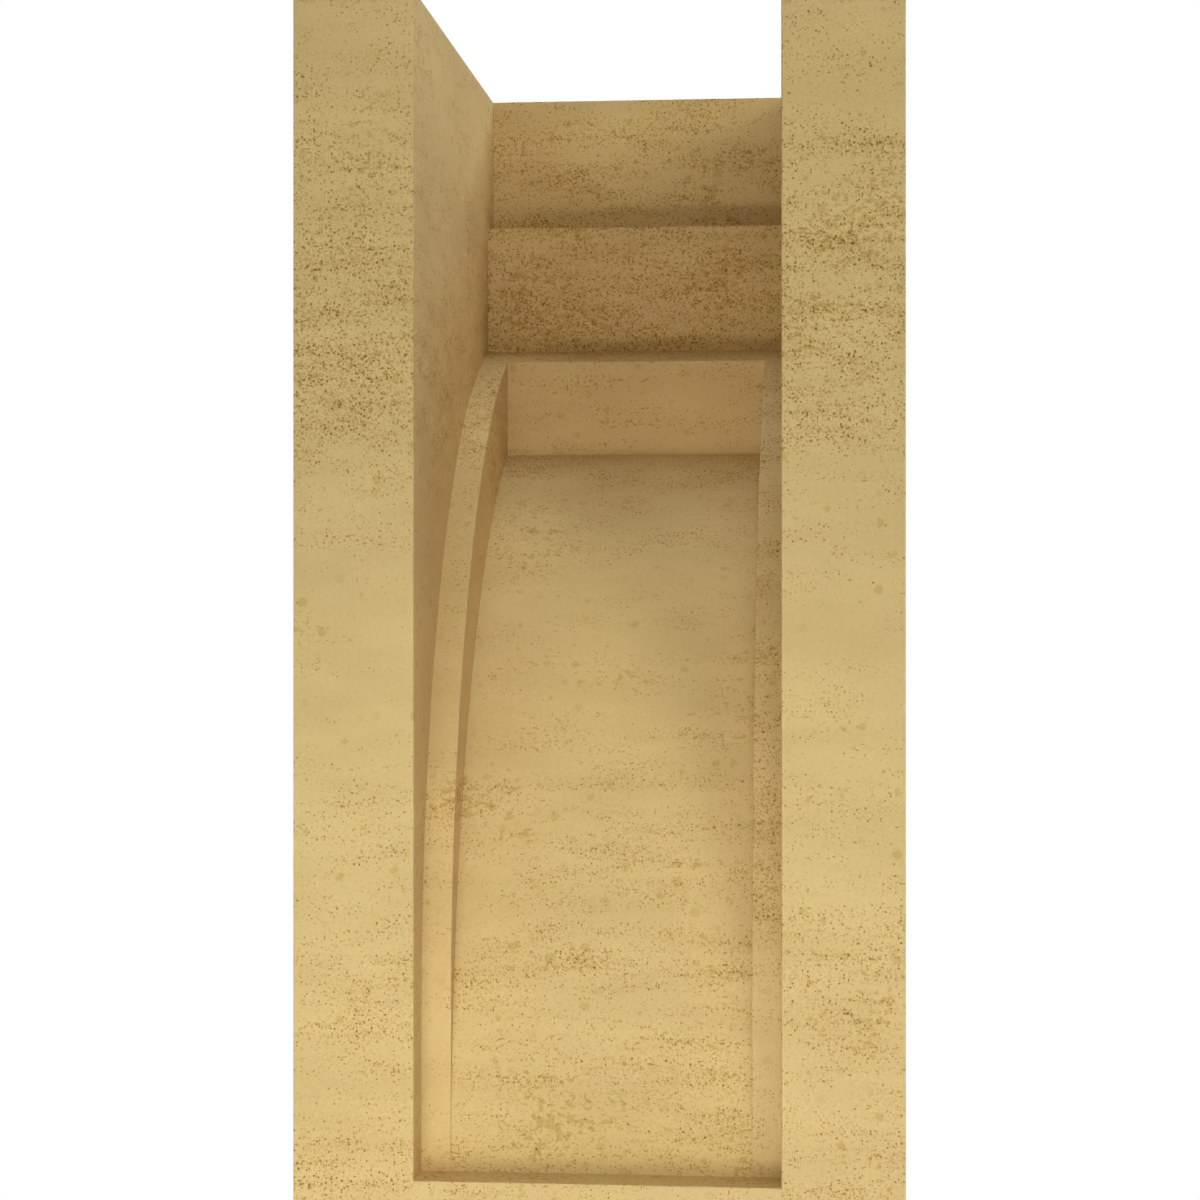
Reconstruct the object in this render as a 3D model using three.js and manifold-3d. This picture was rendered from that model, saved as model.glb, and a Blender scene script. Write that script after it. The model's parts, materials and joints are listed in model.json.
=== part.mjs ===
// A corbel: a wall bracket with a two-step crown over a concave cove, cast
// as one hollow-backed stone. Millimetres, +Z up. The wall face lies in the
// plane Y = 0 and looks along +Y; the corbel projects along -Y.
//
// The hollow in the back follows the outer form at one wall thickness. It is
// open to the wall and at the top, and it is closed by a thin band at the
// foot. The origin is on the wall face, at the middle of that band.
import * as THREE from "three";
import { mergeVertices } from "three/addons/utils/BufferGeometryUtils.js";
import Module from "manifold-3d";

// ---- overall size ----
const WIDTH = 254; // across the wall face
const HEIGHT = 2 * WIDTH; // foot to top
const u = (k) => k * WIDTH; // every other size is a fraction of the width

// ---- the shell ----
const WALL = u(0.05); // thickness of the cast shell, and height of the foot band
const LEG = u(0.2); // width of each solid leg beside the hollow
const STRIP = u(0.05); // width of the strips beside the deeper middle bay
const HOLLOW_HALF = WIDTH / 2 - LEG; // half width of the hollow
const BAY_HALF = HOLLOW_HALF - STRIP; // half width of its deeper middle bay
const TONGUE_HALF = BAY_HALF + WALL; // half width of the raised tongue in front

// ---- depths of the hollow, from the wall face ----
const CROWN_DEPTH = u(1.0); // upper step of the crown
const NECK_DEPTH = u(0.92); // lower step of the crown
const BAY_DEPTH = u(0.83); // upright head wall of the middle bay
const FOOT_DEPTH = u(0.08); // at the foot

// ---- levels, from mid height ----
const MID = HEIGHT / 2 - WALL / 2; // mid height above the origin
const z = (k) => MID + u(k);
const TOP = z(1.0);
const CROWN_LEDGE = z(0.735); // between the two steps, inside
const NECK_FOOT = z(0.49); // where the lower step meets the cove, inside
const BAY_TOP = z(0.4614); // head wall of the bay
const BAY_HEEL = z(0.2814);
const FOOT_LEDGE = z(-0.95);
const BOTTOM = z(-1.0);

// ---- the two cove curves, each a quarter of an ellipse ----
// depth = FOOT_DEPTH + a (1 - cos t), level = z0 + b sin t
const COVE = { a: u(1.0973), b: u(1.2241), z0: z(-0.7) };
const BAY = { a: u(1.1769), b: u(1.3214), z0: z(-0.95) };
const STEPS = 48;

// A point of a cove curve moved out by `off` along its normal, as [depth, level].
function covePoint(c, t, off) {
  const tx = c.a * Math.sin(t);
  const tz = c.b * Math.cos(t);
  const n = Math.hypot(tx, tz);
  return [
    FOOT_DEPTH + c.a * (1 - Math.cos(t)) + (off * tz) / n,
    c.z0 + c.b * Math.sin(t) - (off * tx) / n,
  ];
}

// The curve from its foot until it reaches `level`.
function coveTo(c, level, off) {
  let lo = 0;
  let hi = Math.PI / 2;
  for (let i = 0; i < 60; i++) {
    const mid = (lo + hi) / 2;
    if (covePoint(c, mid, off)[1] < level) lo = mid;
    else hi = mid;
  }
  const points = [];
  for (let i = 0; i <= STEPS; i++) points.push(covePoint(c, (lo * i) / STEPS, off));
  points[STEPS][1] = level;
  return points;
}

const wasm = await Module();
wasm.setup();

// A closed three.js geometry as a solid that can be joined and cut.
function solid(geometry) {
  const g = geometry.clone();
  g.deleteAttribute("normal");
  g.deleteAttribute("uv");
  const m = mergeVertices(g, 1e-4);
  return new wasm.Manifold(
    new wasm.Mesh({
      numProp: 3,
      vertProperties: m.getAttribute("position").array,
      triVerts: new Uint32Array(m.index.array),
    }),
  );
}

// A section of [depth, level] points, run across the part between -half and +half.
const ACROSS = new THREE.Matrix4().makeBasis(
  new THREE.Vector3(0, 1, 0),
  new THREE.Vector3(0, 0, 1),
  new THREE.Vector3(1, 0, 0),
);
function run(section, half) {
  const shape = new THREE.Shape(section.map(([d, l]) => new THREE.Vector2(-d, l)));
  const g = new THREE.ExtrudeGeometry(shape, {
    depth: 2 * half,
    bevelEnabled: false,
    steps: 1,
  });
  g.translate(0, 0, -half);
  g.applyMatrix4(ACROSS);
  return solid(g);
}

// ---- outside: the block with its crown, neck and cove ----
const SOFFIT = NECK_FOOT - WALL; // underside of the neck
const block = run(
  [
    [0, BOTTOM],
    [FOOT_DEPTH + WALL, BOTTOM],
    ...coveTo(COVE, SOFFIT, WALL),
    [NECK_DEPTH + WALL, SOFFIT],
    [NECK_DEPTH + WALL, CROWN_LEDGE - WALL],
    [CROWN_DEPTH + WALL, CROWN_LEDGE - WALL],
    [CROWN_DEPTH + WALL, TOP],
    [0, TOP],
  ],
  WIDTH / 2,
);

// ---- outside: the tongue that rises from the cove ----
const tongue = run(
  [
    [FOOT_DEPTH, BAY.z0],
    ...coveTo(BAY, BAY_HEEL - WALL, WALL),
    [BAY_DEPTH + WALL, BAY_HEEL - WALL],
    [BAY_DEPTH + WALL, NECK_FOOT],
    [FOOT_DEPTH, NECK_FOOT],
  ],
  TONGUE_HALF,
);

// ---- inside: the hollow, then its deeper middle bay ----
const CLEAR = u(0.1); // the cutters run on past the wall face and the top
const hollow = run(
  [
    [-CLEAR, FOOT_LEDGE],
    [FOOT_DEPTH, FOOT_LEDGE],
    ...coveTo(COVE, NECK_FOOT, 0),
    [NECK_DEPTH, NECK_FOOT],
    [NECK_DEPTH, CROWN_LEDGE],
    [CROWN_DEPTH, CROWN_LEDGE],
    [CROWN_DEPTH, TOP + CLEAR],
    [-CLEAR, TOP + CLEAR],
  ],
  HOLLOW_HALF,
);
const bay = run(
  [
    [FOOT_DEPTH / 2, BAY.z0],
    ...coveTo(BAY, BAY_HEEL, 0),
    [BAY_DEPTH, BAY_HEEL],
    [BAY_DEPTH, BAY_TOP],
    [FOOT_DEPTH / 2, BAY_TOP],
  ],
  BAY_HALF,
);

const cast = block.add(tongue).subtract(hollow.add(bay));
const mesh = cast.getMesh();
const geometry = new THREE.BufferGeometry()
  .setAttribute("position", new THREE.BufferAttribute(mesh.vertProperties, 3))
  .setIndex(new THREE.BufferAttribute(mesh.triVerts, 1));
geometry.computeVertexNormals();

const stone = new THREE.MeshStandardMaterial({
  color: new THREE.Color().setRGB(0.83, 0.73, 0.48, THREE.SRGBColorSpace),
  roughness: 0.85,
  metalness: 0,
});
stone.name = "cast_stone";

const group = new THREE.Group();
const corbel = new THREE.Mesh(geometry, stone);
corbel.name = "corbel";
group.add(corbel);

export default group;
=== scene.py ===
import json
import math
import random

import bmesh
import bpy
import numpy as np
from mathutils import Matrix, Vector
from mathutils.geometry import delaunay_2d_cdt

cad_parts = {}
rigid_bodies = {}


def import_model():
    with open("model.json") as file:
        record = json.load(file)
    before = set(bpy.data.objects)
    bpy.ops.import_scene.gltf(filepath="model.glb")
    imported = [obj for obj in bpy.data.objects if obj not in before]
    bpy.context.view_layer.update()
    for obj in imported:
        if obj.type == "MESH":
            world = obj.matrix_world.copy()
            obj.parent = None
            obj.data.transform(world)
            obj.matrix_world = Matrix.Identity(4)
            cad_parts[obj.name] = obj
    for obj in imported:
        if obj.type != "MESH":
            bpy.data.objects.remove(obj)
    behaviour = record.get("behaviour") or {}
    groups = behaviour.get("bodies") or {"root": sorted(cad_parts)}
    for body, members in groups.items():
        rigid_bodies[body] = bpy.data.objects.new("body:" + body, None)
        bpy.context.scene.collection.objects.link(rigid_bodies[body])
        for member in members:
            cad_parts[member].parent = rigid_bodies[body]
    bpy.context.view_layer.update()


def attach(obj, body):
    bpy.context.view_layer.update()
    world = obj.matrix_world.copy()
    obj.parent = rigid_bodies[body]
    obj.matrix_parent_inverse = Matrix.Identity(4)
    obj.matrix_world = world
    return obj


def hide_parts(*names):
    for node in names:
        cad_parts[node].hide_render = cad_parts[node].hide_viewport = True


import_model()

# Metres, in the CAD frame: the wall face is the plane y = 0 and looks along +Y,
# the corbel projects along -Y, and z = 0 is the middle of the foot band.
W = 0.254            # width across the wall face; the other sizes are fractions of it
MID = 0.975 * W      # mid height


def place(x, d, z):
    """A point from its fractions of the width: across, depth from the wall, level from mid height."""
    return Vector((x * W, -d * W, MID + z * W))


# ---------------------------------------------------------------- the section
WALL = 0.05
HALF, HOLLOW, BAY = 0.5, 0.3, 0.25      # half widths: block, hollow and tongue, middle bay
CROWN_D, NECK_D, BAY_D, FOOT_D = 1.0, 0.92, 0.83, 0.08
TOP, LEDGE, NECK_Z, HEEL, SILL, FOOT = 1.0, 0.735, 0.49, 0.2814, -0.95, -1.0
COVE = (1.0973, 1.2241, -0.7)
PANEL = (1.1769, 1.3214, -0.95)


def cove_point(c, t, off):
    a, b, z0 = c
    tx, tz = a * math.sin(t), b * math.cos(t)
    n = math.hypot(tx, tz)
    return (FOOT_D + a * (1 - math.cos(t)) + off * tz / n, z0 + b * math.sin(t) - off * tx / n)


def solve(c, off, axis, value):
    """The parameter at which a cove curve reaches a depth (axis 0) or a level (axis 1)."""
    lo, hi = 0.0, math.pi / 2
    for _ in range(60):
        mid = (lo + hi) / 2
        if cove_point(c, mid, off)[axis] < value:
            lo = mid
        else:
            hi = mid
    return lo


def arc(c, off, t0, t1, n, first=None, last=None):
    pts = [cove_point(c, t0 + (t1 - t0) * i / n, off) for i in range(n + 1)]
    if first:
        pts[0] = first
    if last:
        pts[-1] = last
    return pts


t_j = solve(COVE, 0, 0, BAY_D)
t_k = solve(COVE, 0, 1, NECK_Z)
t_x = solve(COVE, WALL, 0, BAY_D + WALL)
t_s = solve(COVE, WALL, 1, NECK_Z - WALL)
J = (BAY_D, cove_point(COVE, t_j, 0)[1])
K = (NECK_D, NECK_Z)
X = (BAY_D + WALL, cove_point(COVE, t_x, WALL)[1])
S = (cove_point(COVE, t_s, WALL)[0], NECK_Z - WALL)
inner_lo = arc(COVE, 0, 0, t_j, 72, last=J)
inner_hi = arc(COVE, 0, t_j, t_k, 6, first=J, last=K)
outer_lo = arc(COVE, WALL, 0, t_x, 76, last=X)
outer_hi = arc(COVE, WALL, t_x, t_s, 3, first=X, last=S)
panel = arc(PANEL, 0, 0, solve(PANEL, 0, 1, HEEL), 72, last=(BAY_D, HEEL))
tongue = arc(PANEL, WALL, 0, solve(PANEL, WALL, 1, HEEL - WALL), 72)
if BAY_D + WALL - tongue[-1][0] > 0.002:
    tongue.append((BAY_D + WALL, HEEL - WALL))
else:
    tongue[-1] = (BAY_D + WALL, HEEL - WALL)


# ---------------------------------------------------------------- the body
def build_body():
    bm = bmesh.new()
    verts = {}

    def v(x, p):
        k = (round(x, 7), round(p[0], 7), round(p[1], 7))
        if k not in verts:
            verts[k] = bm.verts.new(place(x, *p))
        return verts[k]

    def face(*corners):
        bm.faces.new([v(x, p) for x, p in corners])

    def band(x0, x1, chain):
        for p, q in zip(chain, chain[1:]):
            face((x0, p), (x1, p), (x1, q), (x0, q))

    def side(x, chain):
        face(*[(x, p) for p in chain])

    # wall face, top and foot front: each one sheet, notched by the hollow or the tongue
    face((-HALF, (0, FOOT)), (HALF, (0, FOOT)), (HALF, (0, TOP)), (HOLLOW, (0, TOP)),
         (HOLLOW, (0, SILL)), (-HOLLOW, (0, SILL)), (-HOLLOW, (0, TOP)), (-HALF, (0, TOP)))
    face((-HALF, (0, TOP)), (-HOLLOW, (0, TOP)), (-HOLLOW, (CROWN_D, TOP)), (HOLLOW, (CROWN_D, TOP)),
         (HOLLOW, (0, TOP)), (HALF, (0, TOP)), (HALF, (CROWN_D + WALL, TOP)), (-HALF, (CROWN_D + WALL, TOP)))
    front = FOOT_D + WALL
    face((-HALF, (front, FOOT)), (HALF, (front, FOOT)), (HALF, (front, COVE[2])), (HOLLOW, (front, COVE[2])),
         (HOLLOW, (front, SILL)), (-HOLLOW, (front, SILL)), (-HOLLOW, (front, COVE[2])), (-HALF, (front, COVE[2])))
    band(-HALF, HALF, [(0, FOOT), (front, FOOT)])
    crown = [S, (NECK_D + WALL, S[1]), (NECK_D + WALL, LEDGE - WALL),
             (CROWN_D + WALL, LEDGE - WALL), (CROWN_D + WALL, TOP)]
    band(-HALF, HALF, crown)

    # front: the cove beside the tongue, then across the whole width above it
    for s in (-1, 1):
        band(s * HOLLOW, s * HALF, outer_lo)
    face((-HALF, X), (-HOLLOW, X), (HOLLOW, X), (HALF, X), (HALF, outer_hi[1]), (-HALF, outer_hi[1]))
    band(-HALF, HALF, outer_hi[1:])
    band(-HOLLOW, HOLLOW, tongue + [X])

    # back: the strips, the middle bay and what is above them
    for s in (-1, 1):
        band(s * BAY, s * HOLLOW, [(FOOT_D, SILL)] + inner_lo)
    face((-HOLLOW, (0, SILL)), (HOLLOW, (0, SILL)), (HOLLOW, (FOOT_D, SILL)),
         (BAY, (FOOT_D, SILL)), (-BAY, (FOOT_D, SILL)), (-HOLLOW, (FOOT_D, SILL)))
    band(-BAY, BAY, panel + [J])
    face((-HOLLOW, J), (-BAY, J), (BAY, J), (HOLLOW, J), (HOLLOW, inner_hi[1]), (-HOLLOW, inner_hi[1]))
    band(-HOLLOW, HOLLOW, inner_hi[1:] + [(NECK_D, LEDGE), (CROWN_D, LEDGE), (CROWN_D, TOP)])

    # faces across: block ends, hollow sides, bay sides, tongue sides
    for s in (-1, 1):
        side(s * HALF, [(0, FOOT), (front, FOOT)] + outer_lo + outer_hi[1:] + crown[1:] + [(0, TOP)])
        side(s * HOLLOW, [(0, SILL), (FOOT_D, SILL)] + inner_lo + inner_hi[1:]
             + [(NECK_D, LEDGE), (CROWN_D, LEDGE), (CROWN_D, TOP), (0, TOP)])
        side(s * BAY, panel + inner_lo[::-1])
        side(s * HOLLOW, tongue + outer_lo[::-1])
    bmesh.ops.recalc_face_normals(bm, faces=bm.faces)
    bm.normal_update()

    # Arrises: every outside edge is eased a little, except where a curved side runs out to nothing.
    eased = []
    for e in bm.edges:
        if not e.is_manifold or not e.is_convex or e.calc_face_angle(0) < math.radians(25):
            continue
        m = (e.verts[0].co + e.verts[1].co) / 2
        x, z = abs(m.x) / W, (m.z - MID) / W
        if z < -0.84 and -0.951 < z and (abs(x - BAY) < 1e-4 or (abs(x - HOLLOW) < 1e-4 and m.y < -0.1 * W)):
            continue
        eased.append(e)
    bmesh.ops.bevel(bm, geom=eased, offset=0.0006, offset_type="OFFSET", segments=2,
                    profile=0.5, affect="EDGES", clamp_overlap=False)
    bmesh.ops.recalc_face_normals(bm, faces=bm.faces)
    return bm


# ---------------------------------------------------------------- the stone
class Nodes:
    """Short names for building a node tree."""

    def __init__(self, tree):
        self.tree = tree

    def new(self, kind, **inputs):
        n = self.tree.nodes.new(kind)
        for k, val in inputs.items():
            self.put(n.inputs[k.replace("_", " ")], val)
        return n

    def put(self, socket, val):
        if isinstance(val, bpy.types.NodeSocket):
            self.tree.links.new(val, socket)
        elif val is not None:
            socket.default_value = val

    def math(self, op, a, b=None, c=None, clamp=False):
        n = self.tree.nodes.new("ShaderNodeMath")
        n.operation = op
        n.use_clamp = clamp
        for s, val in zip(n.inputs, (a, b, c)):
            self.put(s, val)
        return n.outputs[0]

    def vmath(self, op, a, b):
        n = self.tree.nodes.new("ShaderNodeVectorMath")
        n.operation = op
        self.put(n.inputs[0], a)
        self.put(n.inputs[1], b)
        return n.outputs[0]

    def noise(self, co, scale, detail=2.0, rough=0.5, dist=0.0):
        n = self.tree.nodes.new("ShaderNodeTexNoise")
        n.noise_dimensions = "3D"
        self.put(n.inputs["Vector"], co)
        n.inputs["Scale"].default_value = scale
        n.inputs["Detail"].default_value = detail
        n.inputs["Roughness"].default_value = rough
        n.inputs["Distortion"].default_value = dist
        return n.outputs[0]

    def ramp(self, x, a, b, lo=0.0, hi=1.0, smooth=True):
        n = self.tree.nodes.new("ShaderNodeMapRange")
        n.interpolation_type = "SMOOTHSTEP" if smooth else "LINEAR"
        for s, val in zip(n.inputs, (x, a, b, lo, hi)):
            self.put(s, val)
        return n.outputs[0]

    def mix(self, fac, a, b, blend="MIX"):
        n = self.tree.nodes.new("ShaderNodeMix")
        n.data_type = "RGBA"
        n.blend_type = blend
        self.put(n.inputs[0], fac)
        self.put(n.inputs[6], a)
        self.put(n.inputs[7], b)
        return n.outputs[2]


# How open the grain of the stone is, bed by bed: level from mid height, openness 0 to 1.
BEDS = (
    (-1.00, 0.51), (-0.94, 0.64), (-0.87, 0.61), (-0.81, 0.50), (-0.74, 0.58), (-0.68, 0.56),
    (-0.61, 0.70), (-0.55, 0.52), (-0.48, 0.46), (-0.42, 0.34), (-0.36, 0.42), (-0.29, 0.28),
    (-0.20, 0.16), (-0.05, 0.14), (0.05, 0.25), (0.11, 0.38), (0.17, 0.42), (0.23, 0.58),
    (0.29, 0.76), (0.35, 0.86), (0.42, 0.92), (0.48, 1.00), (0.55, 0.93), (0.61, 0.78),
    (0.68, 0.72), (0.74, 0.78), (0.80, 0.46), (0.87, 0.64), (0.93, 0.42), (1.00, 0.40),
)


def openness(n, co, closer_and_shade):
    """How densely the stone is pitted at co (mm, part frame): level beds broken up into long flat lenses."""
    sway = n.noise(co, 0.008, 0.0)
    sep = n.new("ShaderNodeSeparateXYZ", Vector=co)
    level = n.math("DIVIDE", n.math("SUBTRACT", sep.outputs[2], MID * 1000), W * 1000)
    level = n.math("MULTIPLY_ADD", n.math("SUBTRACT", sway, 0.5), 0.06, level)
    curve = n.tree.nodes.new("ShaderNodeFloatCurve")
    pts = curve.mapping.curves[0].points
    while len(pts) < len(BEDS):
        pts.new(0.5, 0.5)
    for p, (z, k) in zip(pts, BEDS):
        p.location = ((z + 1) / 2, k)
        p.handle_type = "VECTOR"
    curve.mapping.update()
    n.put(curve.inputs["Value"], n.ramp(level, -1.0, 1.0, 0.0, 1.0, smooth=False))
    # above 0 this value shuts the beds by that share, and below 0 it opens the grain by that much; the opening deep
    # in the hollow is painted shade
    bed = n.math("MULTIPLY", curve.outputs[0], n.math("MULTIPLY_ADD", n.math("MAXIMUM", closer_and_shade, 0.0), -1.35, 1.35))
    bed = n.math("SUBTRACT", bed, n.math("MINIMUM", closer_and_shade, 0.0))
    lens = n.noise(n.vmath("MULTIPLY", co, (1.0, 1.0, 5.0)), 0.026, 3.0, 0.62)
    patch = n.noise(n.vmath("MULTIPLY", co, (1.0, 1.0, 2.6)), 0.014, 1.0, 0.5)
    d = n.math("MULTIPLY_ADD", n.math("SUBTRACT", lens, 0.5), 3.2, bed)
    return n.math("MULTIPLY_ADD", n.math("SUBTRACT", patch, 0.5), 1.3, d)


def dots(n, co, d, ragged, scale, lo, hi, r0, r1, faint, power):
    """Round pits of one size: one to a cell, more of them open and wider the higher d is. 0 to 1."""
    cell = n.tree.nodes.new("ShaderNodeTexVoronoi")
    cell.voronoi_dimensions, cell.feature, cell.distance = "3D", "F1", "EUCLIDEAN"
    n.put(cell.inputs["Vector"], co)
    cell.inputs["Scale"].default_value = scale
    chance = n.new("ShaderNodeSeparateXYZ", Vector=cell.outputs["Color"])
    s = n.math("SUBTRACT", n.ramp(d, lo, hi, 0.0, 1.0, smooth=False), chance.outputs[0], clamp=True)
    q = n.math("DIVIDE", n.math("MULTIPLY_ADD", cell.outputs["Distance"], 1 / scale, ragged),
               n.math("MULTIPLY_ADD", s, r1, r0))
    bowl = n.math("SUBTRACT", 1.0, n.math("MULTIPLY", q, q), clamp=True)
    depth = n.math("MULTIPLY_ADD", n.math("POWER", chance.outputs[1], power), 1 - faint, faint)
    return n.math("MULTIPLY", n.math("MULTIPLY", bowl, depth), n.ramp(s, 0.0, 0.05))


def pit_field(n, co, closer_and_shade):
    """How deep the stone is pitted at co, 0 to about 1, and how open it is there."""
    d = openness(n, co, closer_and_shade)
    ragged = n.math("MULTIPLY", n.math("SUBTRACT", n.noise(co, 0.9, 1.0), 0.5), 0.9)
    fine = n.math("MULTIPLY", dots(n, co, d, ragged, 0.95, 0.05, 1.5, 0.29, 0.50, 0.25, 2.0), 0.66)
    bold = dots(n, n.vmath("ADD", co, (37.0, 11.0, 5.0)), d, ragged, 0.42, 0.45, 2.4, 0.36, 0.70, 0.40, 1.3)
    # between the pits, a faint open grain; turned so that no face lies along its lattice
    g = n.math("DIVIDE", n.math("SUBTRACT", n.noise(turned(n, co), 1.15, 1.0, 0.6), 0.5), 0.10)
    g = n.math("MAXIMUM", n.math("ADD", g, n.math("MULTIPLY_ADD", d, 1.3, -1.35)), 0.0)
    return n.math("MULTIPLY_ADD", n.math("MINIMUM", g, 2.2), 0.058, n.math("MAXIMUM", fine, bold)), d


def turned(n, co):
    node = n.tree.nodes.new("ShaderNodeVectorRotate")
    node.rotation_type = "EULER_XYZ"
    n.put(node.inputs["Vector"], co)
    node.inputs["Rotation"].default_value = (0.6, 0.45, 0.35)
    return node.outputs[0]


# The third value opens the grain deeper than 0.9 widths from the wall face: more and darker pits there, painted
# shade at the back of the hollow.
SIDES_CLOSER, HEAD_CLOSER, DEEP_PAINTED_SHADE = 0.33, 0.60, -0.24
STRIP_LEVELS = ((0.12, -0.10), (-0.50, -0.64))


def closeness_and_shade(mid, nrm):
    """How much tighter than the beds a face came out, from its middle and its normal; deeper than 0.9 widths, how
    much more open, which is painted shade at the back of the hollow.
    """
    x, y, z = mid.x / W, mid.y / W, (mid.z - MID) / W
    if abs(nrm.x) > 0.95:
        return SIDES_CLOSER
    if nrm.y > 0.05 and BAY < abs(x) < HOLLOW and z < 0.12:
        (a, b), (c, d) = STRIP_LEVELS
        up = min(max((a - z) / (a - b), 0), 1) * 0.75 if x < 0 else 0
        down = min(max((c - z) / (c - d), 0), 1)
        return down * 0.7 - up * (1 - down)
    if nrm.y > 0.9 and abs(x) < BAY and abs(y + BAY_D) < 0.005 and 0.27 < z < 0.47:
        return HEAD_CLOSER
    # faces deeper than 0.9 widths get an opened grain with more and darker pits: painted shade at the back of the
    # hollow
    return DEEP_PAINTED_SHADE if y < -0.9 else 0.0


def cast_stone():
    mat = bpy.data.materials.new("cast_stone")
    mat.use_nodes = True
    tree = mat.node_tree
    tree.nodes.clear()
    n = Nodes(tree)
    out = tree.nodes.new("ShaderNodeOutputMaterial")
    bsdf = tree.nodes.new("ShaderNodeBsdfPrincipled")
    tree.links.new(bsdf.outputs[0], out.inputs["Surface"])
    coord = tree.nodes.new("ShaderNodeTexCoord")
    co = n.vmath("MULTIPLY", coord.outputs["Object"], (1000.0, 1000.0, 1000.0))

    # which faces came out closer, plus the painted shade deep in the hollow (the same as the face rule above)
    at = n.new("ShaderNodeSeparateXYZ", Vector=co)
    look = n.new("ShaderNodeSeparateXYZ", Vector=coord.outputs["Normal"])
    x, y, z = at.outputs[0], at.outputs[1], at.outputs[2]
    wide = n.math("ABSOLUTE", x)
    mm = 1000 * W
    sides = n.ramp(n.math("ABSOLUTE", look.outputs[0]), 0.90, 0.97, 0.0, SIDES_CLOSER)
    head = n.ramp(n.math("ABSOLUTE", n.math("ADD", y, BAY_D * mm)), 0.6, 1.2, HEAD_CLOSER, 0.0)
    for test, value, limit in (("LESS_THAN", wide, BAY * mm + 0.1), ("LESS_THAN", z, (MID / W + 0.47) * mm),
                               ("GREATER_THAN", z, (MID / W + 0.27) * mm)):
        head = n.math("MULTIPLY", head, n.math(test, value, limit))
    (a, b), (c, d) = [[(MID / W + k) * mm for k in pair] for pair in STRIP_LEVELS]
    up = n.math("MULTIPLY", n.ramp(z, b, a, 0.75, 0.0, smooth=False), n.math("LESS_THAN", x, 0.0))
    down = n.ramp(z, d, c, 1.0, 0.0, smooth=False)
    strip = n.math("SUBTRACT", n.math("MULTIPLY", down, 0.7), n.math("MULTIPLY", up, n.math("SUBTRACT", 1.0, down)))
    for test, value, limit in (("GREATER_THAN", wide, BAY * mm), ("LESS_THAN", wide, HOLLOW * mm),
                               ("GREATER_THAN", look.outputs[1], 0.05), ("LESS_THAN", z, a)):
        strip = n.math("MULTIPLY", strip, n.math(test, value, limit))
    # Deeper than 0.9 widths from the wall face the grain is opened: more and darker pits, painted shade at the back
    # of the hollow.
    deep = n.ramp(y, -0.90 * mm, -0.88 * mm, DEEP_PAINTED_SHADE, 0.0)
    closer_and_shade = n.math("ADD", n.math("ADD", n.math("MAXIMUM", sides, head), strip), deep)

    # base: a pale buff with slow level clouding and a fine sandy tooth
    cloud = n.noise(n.vmath("MULTIPLY", co, (1.0, 1.0, 3.0)), 0.012, 2.0, 0.55)
    sand = n.noise(co, 0.5, 1.0, 0.6)
    base = n.mix(n.ramp(cloud, 0.3, 0.7), BUFF_WARM, BUFF_PALE)
    base = n.mix(n.ramp(sand, 0.25, 0.75), base, n.mix(1.0, base, (0.96, 0.955, 0.945, 1), "MULTIPLY"))

    # pits: from a faint tan hollow to a dark brown hole
    over, open_ = pit_field(n, co, closer_and_shade)
    tone = tree.nodes.new("ShaderNodeValToRGB")
    stops = ((0.0, (1.0, 1.0, 1.0)), (0.08, (0.905, 0.865, 0.78)), (0.25, (0.73, 0.64, 0.475)),
             (0.60, (0.44, 0.335, 0.175)), (1.0, (0.20, 0.13, 0.06)))
    while len(tone.color_ramp.elements) < len(stops):
        tone.color_ramp.elements.new(0.5)
    for e, (pos, c) in zip(tone.color_ramp.elements, stops):
        e.position = pos
        e.color = (*c, 1)
    n.put(tone.inputs[0], over)
    # blots: flat ochre marks, in patches of their own and more of them where the stone is open
    area = n.noise(n.vmath("ADD", co, (0.0, 60.0, 0.0)), 0.016, 1.0, 0.5)
    blot = n.noise(n.vmath("MULTIPLY", co, (1.0, 1.0, 1.25)), 0.27, 2.0, 0.65)
    blot = n.math("MULTIPLY_ADD", n.math("SUBTRACT", area, 0.5), 0.75, blot)
    blot = n.ramp(n.math("MULTIPLY_ADD", open_, 0.07, blot), 0.70, 0.78)
    # and single soft spots of 1 to 5 mm, thinly everywhere
    cell = tree.nodes.new("ShaderNodeTexVoronoi")
    n.put(cell.inputs["Vector"], co)
    cell.inputs["Scale"].default_value = 0.13
    chance = n.new("ShaderNodeSeparateXYZ", Vector=cell.outputs["Color"])
    edge = n.math("MULTIPLY_ADD", n.math("SUBTRACT", n.noise(co, 0.5, 2.0, 0.6), 0.5), 5.0,
                  n.math("MULTIPLY", cell.outputs["Distance"], 1 / 0.13))
    width = n.math("MULTIPLY_ADD", n.math("POWER", chance.outputs[0], 2.0), 1.9, 0.4)
    spot = n.math("MULTIPLY", n.ramp(n.math("SUBTRACT", width, edge), -0.15, 0.45),
                  n.math("MULTIPLY_ADD", chance.outputs[1], 0.6, 0.3))
    col = n.mix(n.math("MAXIMUM", blot, spot), base, n.mix(1.0, base, (0.85, 0.795, 0.64, 1), "MULTIPLY"))
    col = n.mix(1.0, col, tone.outputs[0], "MULTIPLY")
    n.put(bsdf.inputs["Base Color"], col)
    n.put(bsdf.inputs["Roughness"], n.ramp(sand, 0.2, 0.8, 0.74, 0.86))
    bsdf.inputs["Specular IOR Level"].default_value = 0.3

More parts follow.
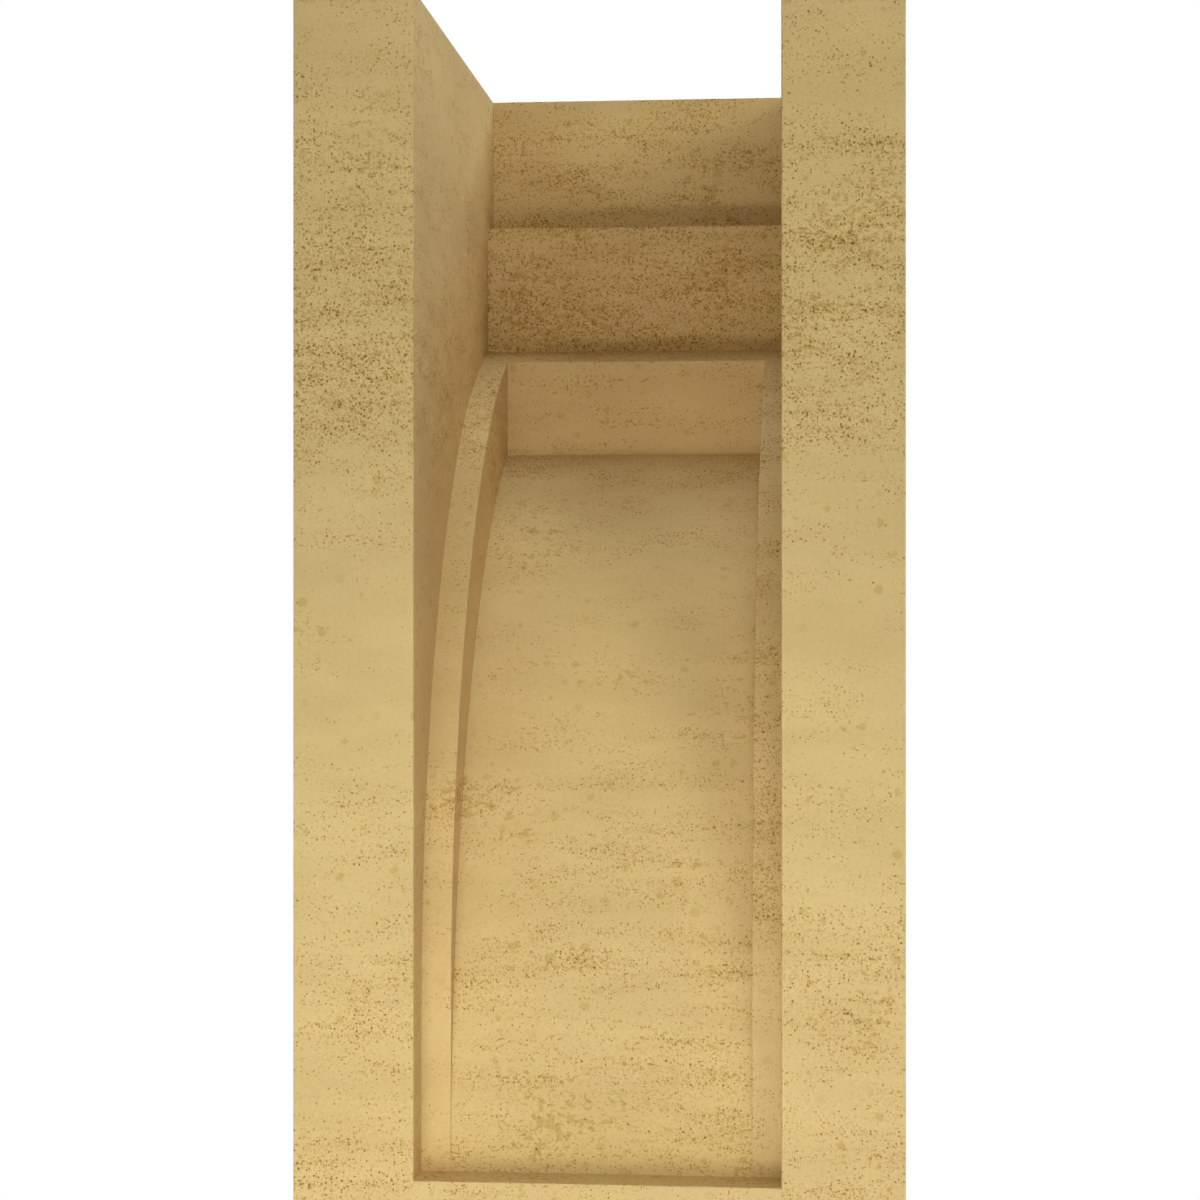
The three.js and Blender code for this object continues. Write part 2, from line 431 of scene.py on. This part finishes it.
    tooth = n.noise(turned(n, co), 1.15, 1.0, 0.6)
    h = n.math("MULTIPLY_ADD", tooth, 0.16, n.math("MULTIPLY", sand, 0.08))
    bump = tree.nodes.new("ShaderNodeBump")
    bump.inputs["Strength"].default_value = 0.6
    bump.inputs["Distance"].default_value = 0.001
    n.put(bump.inputs["Height"], h)
    n.put(bsdf.inputs["Normal"], bump.outputs[0])
    return mat


BUFF_WARM = (0.700, 0.487, 0.264, 1)
BUFF_PALE = (0.762, 0.541, 0.304, 1)


# ---------------------------------------------------------------- pits sunk in the surface
def field_at(points, closer_and_shade):
    """pit_field at many points (metres), worked out by the same nodes as the material's."""
    me = bpy.data.meshes.new("probe")
    me.vertices.add(len(points))
    me.vertices.foreach_set("co", points.astype(np.float32).ravel())
    me.attributes.new("closer_and_shade", "FLOAT", "POINT").data.foreach_set("value", closer_and_shade.astype(np.float32))
    me.update()
    ob = bpy.data.objects.new("probe", me)
    bpy.context.scene.collection.objects.link(ob)
    tree = bpy.data.node_groups.new("probe", "GeometryNodeTree")
    for way in ("INPUT", "OUTPUT"):
        tree.interface.new_socket("Geometry", in_out=way, socket_type="NodeSocketGeometry")
    n = Nodes(tree)
    gin, gout = tree.nodes.new("NodeGroupInput"), tree.nodes.new("NodeGroupOutput")
    store = tree.nodes.new("GeometryNodeStoreNamedAttribute")
    store.data_type, store.domain = "FLOAT", "POINT"
    store.inputs["Name"].default_value = "field"
    pos = tree.nodes.new("GeometryNodeInputPosition")
    given = tree.nodes.new("GeometryNodeInputNamedAttribute")
    given.data_type = "FLOAT"
    given.inputs["Name"].default_value = "closer_and_shade"
    over, _ = pit_field(n, n.vmath("MULTIPLY", pos.outputs[0], (1000.0, 1000.0, 1000.0)), given.outputs[0])
    n.put(store.inputs["Value"], over)
    n.put(store.inputs["Geometry"], gin.outputs[0])
    n.put(gout.inputs[0], store.outputs[0])
    mod = ob.modifiers.new("probe", "NODES")
    mod.node_group = tree
    done = ob.evaluated_get(bpy.context.evaluated_depsgraph_get())
    out = np.empty(len(points), np.float32)
    done.data.attributes["field"].data.foreach_get("value", out)
    bpy.data.objects.remove(ob)
    bpy.data.meshes.remove(me)
    bpy.data.node_groups.remove(tree)
    return out


def inside(poly, pts):
    """Which 2-D points lie inside a closed polygon, and how far each is from its outline."""
    a, b = poly, np.roll(poly, -1, axis=0)
    hit = np.zeros(len(pts), bool)
    near = np.full(len(pts), 1e9)
    for p, q in zip(a, b):
        y = pts[:, 1]
        crosses = (p[1] > y) != (q[1] > y)
        if p[1] != q[1]:
            hit ^= crosses & (pts[:, 0] < (q[0] - p[0]) * (y - p[1]) / (q[1] - p[1]) + p[0])
        d = q - p
        t = np.clip(((pts - p) @ d) / max(d @ d, 1e-20), 0, 1)
        near = np.minimum(near, np.hypot(*(pts - p - t[:, None] * d).T))
    return hit, near


def sink_pits(bm, step=0.4e-3, limit=0.40, most=5200):
    """Sinks the deepest pits of the stone into the flat faces and facets as real bowls with a crisp rim."""
    bm.normal_update()
    sheets, pts3, shut_and_shade = [], [], []
    for f in bm.faces:
        rim = sum(e.calc_length() for e in f.edges)
        if 2 * f.calc_area() / rim < 1.5e-3:
            continue
        nrm = f.normal.copy()
        u = Vector((1, 0, 0)) if abs(nrm.x) < 0.9 else Vector((0, 1, 0))
        u = (u - nrm * u.dot(nrm)).normalized()
        w = nrm.cross(u)
        org = f.verts[0].co.copy()
        poly = np.array([((v.co - org).dot(u), (v.co - org).dot(w)) for v in f.verts])
        lo, hi = poly.min(0), poly.max(0)
        gx = np.arange(lo[0] + 0.5e-3, hi[0] - 0.4e-3, step)
        gy = np.arange(lo[1] + 0.5e-3, hi[1] - 0.4e-3, step)
        if len(gx) < 3 or len(gy) < 3:
            continue
        grid = np.stack(np.meshgrid(gx, gy, indexing="ij"), -1)
        p3 = np.array(org) + grid[..., :1] * np.array(u) + grid[..., 1:] * np.array(w)
        sheets.append((f, org, u, w, nrm, poly, grid))
        pts3.append(p3.reshape(-1, 3))
        # per face, the grain shut or opened, including the painted shade deep in the hollow
        shut_and_shade.append(np.full(len(pts3[-1]), closeness_and_shade(f.calc_center_median(), nrm)))
    field = field_at(np.concatenate(pts3), np.concatenate(shut_and_shade))
    found, at = [], 0
    for k, (f, org, u, w, nrm, poly, grid) in enumerate(sheets):
        m = grid.shape[0] * grid.shape[1]
        g = field[at:at + m].reshape(grid.shape[:2])
        at += m
        pad = np.pad(g, 1, constant_values=-9)
        top = np.ones_like(g, bool)
        for i in (0, 1, 2):
            for j in (0, 1, 2):
                if (i, j) != (1, 1):
                    top &= g >= pad[i:i + g.shape[0], j:j + g.shape[1]]
        top &= g > limit
        c = grid[top]
        if not len(c):
            continue
        hit, near = inside(poly, c)
        for q, val, ok, gap in zip(c, g[top], hit, near):
            if ok:
                r = min(0.36e-3 + 0.75e-3 * (val - limit), 0.80e-3)
                if gap > r + 0.18e-3:
                    found.append((float(val), k, float(q[0]), float(q[1]), r))
    found.sort(reverse=True)
    rng = random.Random(7)
    taken, cells = {}, {}
    count = 0
    for val, k, x, y, r in found:
        if count >= most:
            break
        key = (k, int(x // 2.2e-3), int(y // 2.2e-3))
        near = [o for i in (-1, 0, 1) for j in (-1, 0, 1) for o in cells.get((k, key[1] + i, key[2] + j), ())]
        if any(math.hypot(o[0] - x, o[1] - y) < o[2] + r + 0.14e-3 for o in near):
            continue
        cells.setdefault(key, []).append((x, y, r))
        taken.setdefault(k, []).append((x, y, r))
        count += 1
    rims = []
    for k, pits in taken.items():
        f, org, u, w, nrm, poly, _ = sheets[k]
        old = list(f.verts)
        coords = [Vector(p) for p in poly]
        sunk = [0.0] * len(coords)
        rim_ids, edges = set(), []
        for x, y, r in pits:
            sides = 9 if r > 0.65e-3 else 8 if r > 0.48e-3 else 7
            turn, first = rng.uniform(0, 6.283), len(coords)
            flat, lean = rng.uniform(0.74, 1.0), rng.uniform(0.9, 1.0)
            for i in range(sides):
                a = turn + 6.2832 * i / sides
                rr = r * rng.uniform(0.84, 1.0)
                coords.append(Vector((x + rr * math.cos(a) * lean, y + rr * math.sin(a) * flat)))
                sunk.append(0.0)
                rim_ids.add(first + i)
                edges.append((first + i, first + (i + 1) % sides))
            for i in range(4):
                a = turn + 0.4 + 1.5708 * i
                coords.append(Vector((x + 0.5 * r * math.cos(a) * lean, y + 0.5 * r * math.sin(a) * flat)))
                sunk.append(r * rng.uniform(0.55, 0.8))
        loop = list(range(len(old)))
        out = delaunay_2d_cdt(coords, edges, [loop], 1, 1e-8)
        ids = [o[0] if o else None for o in out[3]]
        if None in ids or len(out[0]) != len(coords):
            continue
        made = []
        for i in ids:
            if i < len(old):
                made.append(old[i])
            else:
                c = coords[i]
                made.append(bm.verts.new(org + u * c.x + w * c.y - nrm * sunk[i]))
        where = {i: v for i, v in zip(ids, made)}
        bm.faces.remove(f)
        for tri in out[2]:
            vs = [made[i] for i in tri]
            a, b, c = (coords[ids[i]] for i in tri)
            if (b - a).cross(c - a) < 0:
                vs.reverse()
            bm.faces.new(vs)
        rims += [(where[a], where[b]) for a, b in edges]
    return count, rims


body = build_body()
pits, rims = sink_pits(body)
body.normal_update()
for f in body.faces:
    f.smooth = True
for e in body.edges:
    if e.is_manifold and e.calc_face_angle(0) > math.radians(50):
        e.smooth = False
for a, b in rims:
    e = body.edges.get((a, b))
    if e:
        e.smooth = False
open_edges = [e for e in body.edges if not e.is_manifold]
print("body: %d faces, %d pits, %d open edges, volume %.3f L"
      % (len(body.faces), pits, len(open_edges), body.calc_volume() * 1000))
mesh = bpy.data.meshes.new("corbel_cast")
body.to_mesh(mesh)
body.free()
corbel = bpy.data.objects.new("corbel_cast", mesh)
bpy.context.scene.collection.objects.link(corbel)
weighted = corbel.modifiers.new("normals", "WEIGHTED_NORMAL")
weighted.keep_sharp = True
weighted.weight = 60

stone = cast_stone()
corbel.data.materials.append(stone)
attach(corbel, "root")
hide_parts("corbel")


# ---------------------------------------------------------------- floor, light and camera
def floor():
    bm = bmesh.new()
    bmesh.ops.create_circle(bm, cap_ends=True, segments=96, radius=1.25)
    me = bpy.data.meshes.new("floor")
    bm.to_mesh(me)
    bm.free()
    ob = bpy.data.objects.new("floor", me)
    bpy.context.scene.collection.objects.link(ob)
    ob.location = (0, -0.1, -0.30638)
    mat = bpy.data.materials.new("floor_pale")
    mat.use_nodes = True
    n = Nodes(mat.node_tree)
    b = mat.node_tree.nodes["Principled BSDF"]
    coord = mat.node_tree.nodes.new("ShaderNodeTexCoord")
    tone = n.noise(coord.outputs["Object"], 3.0, 3.0)
    n.put(b.inputs["Base Color"], n.mix(tone, (0.83, 0.765, 0.93, 1), (0.86, 0.795, 0.96, 1)))
    b.inputs["Roughness"].default_value = 0.8
    me.materials.append(mat)
    return ob


floor()


WARM, PLAIN, COOL = (0.94, 1.0, 0.70), (0.94, 1.0, 0.80), (0.82, 1.0, 0.885)


def lamp(name, kind, at, aim, energy, size, cone=None, blend=0.8, tint=WARM):
    """at and aim in widths: across to the wall side's right, depth behind the wall face, level from mid height."""
    data = bpy.data.lights.new(name, kind)
    data.energy = energy * 1.13
    data.color = tint
    if kind == "AREA":
        data.shape = "DISK"
        data.size = size * W
    else:
        data.spot_size = math.radians(cone)
        data.spot_blend = blend
        data.shadow_soft_size = size * W / 2
    ob = bpy.data.objects.new(name, data)
    bpy.context.scene.collection.objects.link(ob)
    p, q = place(-at[0], at[1], at[2]), place(-aim[0], aim[1], aim[2])
    ob.location = p
    ob.rotation_euler = (q - p).to_track_quat("-Z", "Y").to_euler()
    ob.visible_camera = False
    return ob


def far_lamp(name, az, el, level, tint=WARM):
    """A soft disc 8 widths away: az to the wall side's right, 0 straight in front of the wall face."""
    a, e, r = math.radians(az), math.radians(el), 8.0
    at = (r * math.cos(e) * math.sin(a), -r * math.cos(e) * math.cos(a), r * math.sin(e))
    lamp(name, "AREA", at, (0, 0, 0), level * (r * W) ** 2 * 4, 2.8, tint=tint)


far_lamp("left", -30, 20, 0.222)
far_lamp("key", 8, 20, 0.400, PLAIN)
far_lamp("right", 36, 20, 0.435)
far_lamp("right_low", 36, -8, 0.085)
far_lamp("over_front", 180, 75, 0.260, COOL)
far_lamp("front_high", 180, 60, 0.870, COOL)
far_lamp("front_right", 120, 45, 0.350, PLAIN)
far_lamp("front", 180, 40, 1.700, PLAIN)
far_lamp("side", 90, 25, 0.310)
lamp("low", "SPOT", (-0.5, -2.6, -1.6), (0, 0.2, 0.0), 0.710 * (2.9 * W) ** 2 * 16, 1.0, 62, 0.35)
lamp("foot_high", "SPOT", (0, -5, 0.6), (0, 0, -1.1), 0.310 * (5 * W) ** 2 * 16, 0.6, 30)
# the two flanks, from a little in front of the wall plane, so that they stay out of the hollow
lamp("flank_left", "SPOT", (-8, 1.6, 0.3), (0, 0.5, 0), 1.00 * (8 * W) ** 2 * 16, 2.0, 24, tint=PLAIN)
lamp("flank_right", "SPOT", (8, 1.6, 0.3), (0, 0.5, 0), 0.35 * (8 * W) ** 2 * 16, 2.0, 24, tint=PLAIN)

# Plain white all round for the camera; to the object it is only a faint fill.
world = bpy.data.worlds.new("studio")
bpy.context.scene.world = world
world.use_nodes = True
wn = Nodes(world.node_tree)
world.node_tree.nodes.clear()
wout = world.node_tree.nodes.new("ShaderNodeOutputWorld")
seen = wn.new("ShaderNodeBackground", Color=(1, 1, 1, 1), Strength=1.0)
fill = wn.new("ShaderNodeBackground", Color=(1, 1, 1, 1), Strength=0.02)
path = world.node_tree.nodes.new("ShaderNodeLightPath")
mixw = world.node_tree.nodes.new("ShaderNodeMixShader")
wn.put(mixw.inputs[0], path.outputs["Is Camera Ray"])
wn.put(mixw.inputs[1], fill.outputs[0])
wn.put(mixw.inputs[2], seen.outputs[0])
wn.put(wout.inputs["Surface"], mixw.outputs[0])
bpy.context.scene.view_settings.view_transform = "Standard"

cam = bpy.data.cameras.new("camera")
cam.sensor_width = 36.0
cam.lens = 2666.7432 / 1200 * 36
cam.clip_start = 0.05
cam.clip_end = 50
camera = bpy.data.objects.new("camera", cam)
bpy.context.scene.collection.objects.link(camera)
camera.location = place(-0.4001, -4.3152, 0)
camera.rotation_euler = (math.pi / 2, 0, math.pi + math.radians(5.2165))
bpy.context.scene.camera = camera
